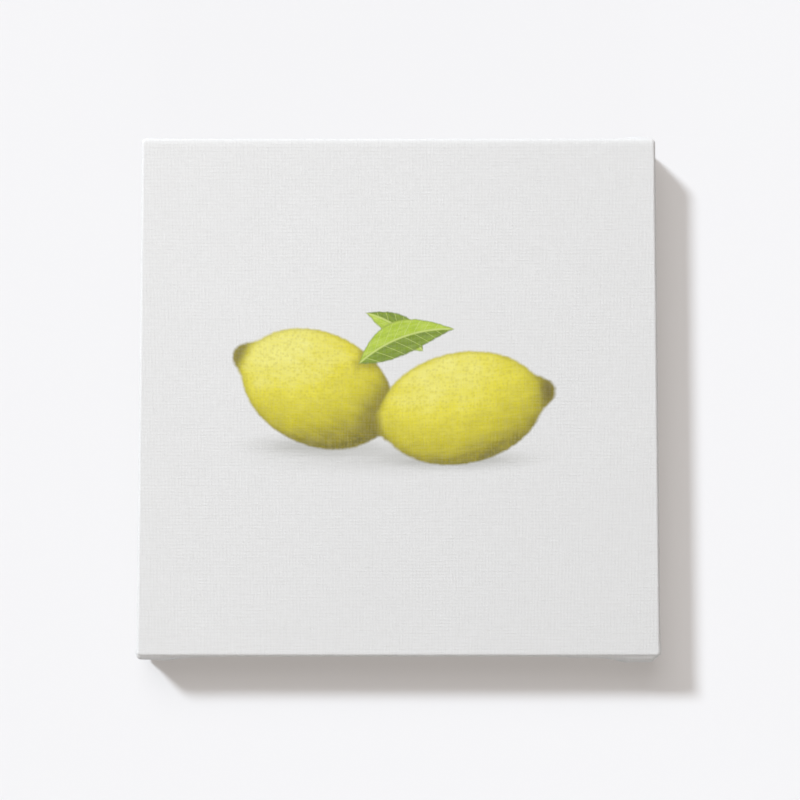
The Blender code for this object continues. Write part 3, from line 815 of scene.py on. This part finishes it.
def cloth_swell(place, side, run, back_share):
    """How far the cloth stands off its plain wrapped shape here, in metres.

    place is from the frame's middle, run is across the cloth from the front in metres.
    """
    swell = 0.0
    along_x, along_z = (CLOTH_HALF - abs(place.x)) / MM, (CLOTH_HALF - abs(place.z)) / MM
    corner = ("top" if place.z > 0 else "bottom") + ("_right" if place.x > 0 else "_left")
    on_side, on_back = 1.0 - clamp01(back_share), clamp01(back_share)
    run_mm = run / MM
    if side in ("top", "bottom") and on_side > 0.0:
        swell += on_side * ear_on_side(corner, along_x, run_mm)
    if side in ("left", "right") and corner in SIDE_BULGES:
        bulge = SIDE_BULGES[corner]
        beside = hump(along_z, bulge.middle, bulge.reach)
        swell += on_side * bulge.rise * beside * smooth(run_mm / bulge.rise_in)
    if on_back > 0.0:
        back_run = (CLOTH_BACK - CLOTH_FRONT) / MM - BACK_EDGE_CUT + along_z
        swell += on_back * fold_on_back(corner, along_x, along_z, back_run)
        swell += on_back * staple_pull(place)
    loose = eased(run_mm, SLACK_START, SLACK_REACH) * (1.0 - SLACK_LOST_BEHIND * on_back)
    for rise, waves, round_waves, shift in SLACKS:
        spot = Vector((place.x * waves + shift, place.z * waves, run * round_waves))
        swell += loose * rise * noise.noise(spot)
    return swell * MM


def ring_points(reach, corner_radius):
    """The points of one ring round the cloth, clockwise as seen from the front."""
    points = []
    for index, side in enumerate(SIDES):
        spacing = LONG_SIDE_SPACING if side in ("top", "bottom") else SHORT_SIDE_SPACING
        half = reach - corner_radius
        turn = Matrix.Rotation(-index * math.pi / 2, 2)
        out = turn @ Vector((0.0, 1.0))
        for share in side_samples(spacing):
            place = turn @ Vector((share * half, reach))
            points.append(RingPoint(place.x, place.y, out.x, out.y, side))
        for step in range(1, CORNER_POINTS):
            angle = math.pi / 2 * (1.0 - step / CORNER_POINTS)
            cos, sin = math.cos(angle), math.sin(angle)
            out = turn @ Vector((cos, sin))
            place = turn @ Vector((half + corner_radius * cos, half + corner_radius * sin))
            nearer = side if step <= CORNER_POINTS // 2 else SIDES[(index + 1) % 4]
            points.append(RingPoint(place.x, place.y, out.x, out.y, nearer))
    return points


def top_ease(z):
    """How far the front leans back at a height above its middle, in metres."""
    share = clamp01((z - (CLOTH_HALF - FRONT_EDGE - TOP_EASE)) / TOP_EASE)
    return TOP_EASE_DEPTH * share * share


def add_front_grid(verts, faces, y, first_ring, flip):
    """Fills a ring with a flat grid whose edge points face the ring's own."""
    columns = side_samples(LONG_SIDE_SPACING)
    rows = side_samples(SHORT_SIDE_SPACING)
    half = CLOTH_HALF - FRONT_EDGE - FRONT_GRID_INSET
    start = len(verts)
    for down in rows:
        for across in columns:
            verts.append(Vector((across * half, y + top_ease(-down * half), -down * half)))
    wide, tall = len(columns), len(rows)

    def at(row, column):
        return start + row * wide + column

    def add(*face):
        faces.append(face[::-1] if flip else face)

    for row in range(tall - 1):
        for column in range(wide - 1):
            add(at(row, column), at(row + 1, column), at(row + 1, column + 1), at(row, column + 1))
    border = [
        [at(0, column) for column in range(wide)],
        [at(row, wide - 1) for row in range(tall)],
        [at(tall - 1, column) for column in reversed(range(wide))],
        [at(row, 0) for row in reversed(range(tall))],
    ]
    ring_at = first_ring
    total = sum(len(edge) for edge in border) + 4 * (CORNER_POINTS - 1)
    for edge in border:
        for i in range(len(edge) - 1):
            add(edge[i], edge[i + 1], ring_at + i + 1, ring_at + i)
        ring_at += len(edge) - 1
        for _ in range(CORNER_POINTS):
            add(edge[-1], first_ring + (ring_at + 1 - first_ring) % total, ring_at)
            ring_at += 1


def frayed(place):
    """A point of the raw edge behind, moved in or out by the fray."""
    fray = sum(depth * noise.noise(place * waves) for depth, waves in FRAYS)
    toward = Vector((place.x, 0.0, place.z)).normalized()
    return place - toward * fray * MM


def outer_face(rows):
    """The points of the cloth's outer face, one ring for each row, the last one frayed."""
    verts = []
    for row in rows:
        ring = []
        for point in ring_points(row.reach, row.radius):
            place = Vector((point.x, row.y, point.z))
            swell = cloth_swell(place, point.side, row.run, row.back_share)
            out_x, out_z = point.out_x * row.out_share, point.out_z * row.out_share
            normal = Vector((out_x, row.back_share, out_z))
            lean = Vector((0.0, top_ease(point.z) * max(0.0, -row.back_share), 0.0))
            ring.append(place + normal * swell + lean)
        verts += ring
    verts[-len(ring):] = [frayed(place) for place in ring]
    return verts, len(ring)


def inner_face(raw_edge):
    """The rings of the inner face: under the raw edge, then flat against the bars."""
    rings = [place - Vector((0.0, CLOTH_THICK, 0.0)) for place in raw_edge]
    inner = CLOTH_HALF - CLOTH_THICK
    for reach, y in (
        (inner, CLOTH_BACK - CLOTH_THICK),
        (inner, CLOTH_FRONT + CLOTH_THICK + INNER_EDGE_BACK),
        (inner - INNER_EDGE_IN, CLOTH_FRONT + CLOTH_THICK),
    ):
        rings += [Vector((point.x, y, point.z)) for point in ring_points(reach, INNER_CORNER)]
    return rings


def build_cloth(materials):
    """The canvas as one closed sheet: face, wrapped sides, ears, turned-over strips, reverse."""
    rows = wrap_rows()
    verts, per_ring = outer_face(rows)
    verts += inner_face(verts[-per_ring:])
    rings = len(verts) // per_ring
    faces = []
    for ring in range(rings - 1):
        here, there = ring * per_ring, (ring + 1) * per_ring
        for i in range(per_ring):
            after = (i + 1) % per_ring
            faces.append((here + i, here + after, there + after, there + i))
    wrapped = len(faces)
    add_front_grid(verts, faces, CLOTH_FRONT, 0, False)
    fronts = len(faces)
    add_front_grid(verts, faces, CLOTH_FRONT + CLOTH_THICK, (rings - 1) * per_ring, True)

    mesh = bpy.data.meshes.new("canvas_cloth")
    mesh.from_pydata([v + FRAME_MIDDLE for v in verts], [], faces)
    for made in materials:
        mesh.materials.append(made)
    printed, primed, raw = range(len(materials))
    layer = mesh.uv_layers.new(name="cloth")
    sides_of = [point.side for point in ring_points(CLOTH_HALF, CORNER)]
    for polygon in mesh.polygons:
        polygon.use_smooth = True
        ring, spot = divmod(polygon.index, per_ring)
        on_wrap = polygon.index < wrapped and ring < len(rows)
        if polygon.index < wrapped:
            polygon.material_index = primed if on_wrap else raw
        else:
            polygon.material_index = printed if polygon.index < fronts else raw
        # The weave runs on round the edges, as in one flat cloth laid out from the front.
        for loop in polygon.loop_indices:
            vertex = mesh.loops[loop].vertex_index
            place = verts[vertex]
            u, v = place.x, place.z
            if on_wrap:
                out = CLOTH_HALF + rows[min(vertex // per_ring, len(rows) - 1)].run
                if sides_of[spot] in ("top", "bottom"):
                    v = math.copysign(out, place.z)
                else:
                    u = math.copysign(out, place.x)
            layer.data[loop].uv = (u, v)
    mesh.validate()
    mesh.update()
    cloth = bpy.data.objects.new("canvas_cloth", mesh)
    # The wall in the photograph shows no light thrown back by the canvas's bright top.
    cloth.visible_diffuse = False
    bpy.context.scene.collection.objects.link(cloth)
    return cloth


def finish_node(name, made, ease_width=None):
    """A CAD node keeps its shape and gets its finish, with eased edges where asked."""
    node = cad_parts[name]
    node.data.materials.clear()
    node.data.materials.append(made)
    if ease_width:
        ease = node.modifiers.new("eased_edges", "BEVEL")
        ease.width = ease_width
        ease.segments = 2
        ease.limit_method = "ANGLE"
        ease.angle_limit = math.radians(EASED_ANGLE)
    if name in BARS:
        # The bars stay dark to the wall too, or their light would reach it through the cloth.
        node.visible_diffuse = False


def build_wall():
    """A plain pale wall, seen only from the room."""
    mesh = bpy.data.meshes.new("wall")
    half = WALL_SIZE / 2.0
    corners = [(-half, 0.0, -half), (half, 0.0, -half), (half, 0.0, half), (-half, 0.0, half)]
    mesh.from_pydata(corners, [], [(0, 1, 2, 3)])
    made, nodes, shader = new_material("pale_wall", linear(238.5, 238.5, 240.3), 0.95, specular=0.0)
    clear = nodes.add("ShaderNodeBsdfTransparent")
    mixed = nodes.add("ShaderNodeMixShader")
    x, _, z = nodes.split(nodes.from_middle())
    reach = nodes.math("MAXIMUM", nodes.size(x), nodes.size(z))
    # Light from behind passes where the canvas hides the hole that it comes through.
    shadow = nodes.add("ShaderNodeLightPath").outputs["Is Shadow Ray"]
    passed = nodes.times(shadow, nodes.math("LESS_THAN", reach, BEHIND_CANVAS))
    behind = nodes.add("ShaderNodeNewGeometry").outputs["Backfacing"]
    nodes.put(nodes.math("MAXIMUM", behind, passed), mixed.inputs[0])
    nodes.put(shader.outputs[0], mixed.inputs[1])
    nodes.put(clear.outputs[0], mixed.inputs[2])
    nodes.put(mixed.outputs[0], made.node_tree.nodes["Material Output"].inputs["Surface"])
    mesh.materials.append(made)
    wall = bpy.data.objects.new("wall", mesh)
    wall.location = (0.0, WALL_BEHIND, FRAME_MIDDLE.z)
    bpy.context.scene.collection.objects.link(wall)


def build_light():
    for name, sun in SUNS.items():
        lamp = bpy.data.lights.new(name, "SUN")
        lamp.energy = sun.strength
        lamp.angle = math.radians(sun.spread)
        lamp.color = sun.colour
        made = bpy.data.objects.new(name, lamp)
        made.rotation_euler = Vector(sun.travel).to_track_quat("-Z", "Y").to_euler()
        bpy.context.scene.collection.objects.link(made)
    world = bpy.data.worlds.new("pale_room")
    world.use_nodes = True
    nodes = Nodes(world.node_tree)
    shown = world.node_tree.nodes["Background"]
    shown.inputs["Color"].default_value = linear(246, 246, 248)
    rays = nodes.add("ShaderNodeLightPath").outputs
    mirrored = nodes.times(rays["Is Glossy Ray"], ROOM_MIRRORED)
    seen = nodes.math("MAXIMUM", rays["Is Camera Ray"], mirrored)
    nodes.put(nodes.math("MAXIMUM", seen, ROOM_LIGHT), shown.inputs["Strength"])
    bpy.context.scene.world = world
    bpy.context.scene.view_settings.view_transform = "Standard"


def build_camera():
    lens = bpy.data.cameras.new("camera")
    lens.lens = CAMERA_LENS
    lens.sensor_width = CAMERA_SENSOR
    lens.clip_start = CAMERA_NEAR
    camera = bpy.data.objects.new("camera", lens)
    camera.location = (CAMERA_ASIDE, CLOTH_FRONT - CAMERA_BACK, FRAME_MIDDLE.z - CAMERA_BELOW)
    camera.rotation_euler = (math.radians(90.0 + CAMERA_PITCH), 0.0, 0.0)
    bpy.context.scene.collection.objects.link(camera)
    bpy.context.scene.camera = camera


def dress():
    weave, grain, wear = plain_weave(), softwood_grain(), worn_metal()
    cloth = build_cloth((
        primed_cloth("printed_canvas", weave, True),
        primed_cloth("primed_canvas", weave, False),
        raw_cloth(weave),
    ))
    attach(cloth, "root")
    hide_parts("canvas")

    for name, bar in BARS.items():
        wood = bar_wood(name.replace("stretcher_bar", "softwood"), grain, bar)
        finish_node(name, wood, BAR_EASE)
    zinc = plated("zinc_wire", wear, linear(208, 209, 211), linear(172, 174, 177), 0.36)
    brass = plated("brassed_plate", wear, linear(224, 196, 132), linear(192, 162, 102), 0.32)
    rubber = pad_rubber()
    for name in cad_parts:
        if name.startswith("staple_"):
            finish_node(name, zinc, STAPLE_EASE)
        elif name.startswith(("sawtooth", "hanger_nail")):
            finish_node(name, brass, HANGER_EASE)
        elif name.startswith("wall_pad"):
            finish_node(name, rubber)


build_camera()
dress()
build_wall()
build_light()
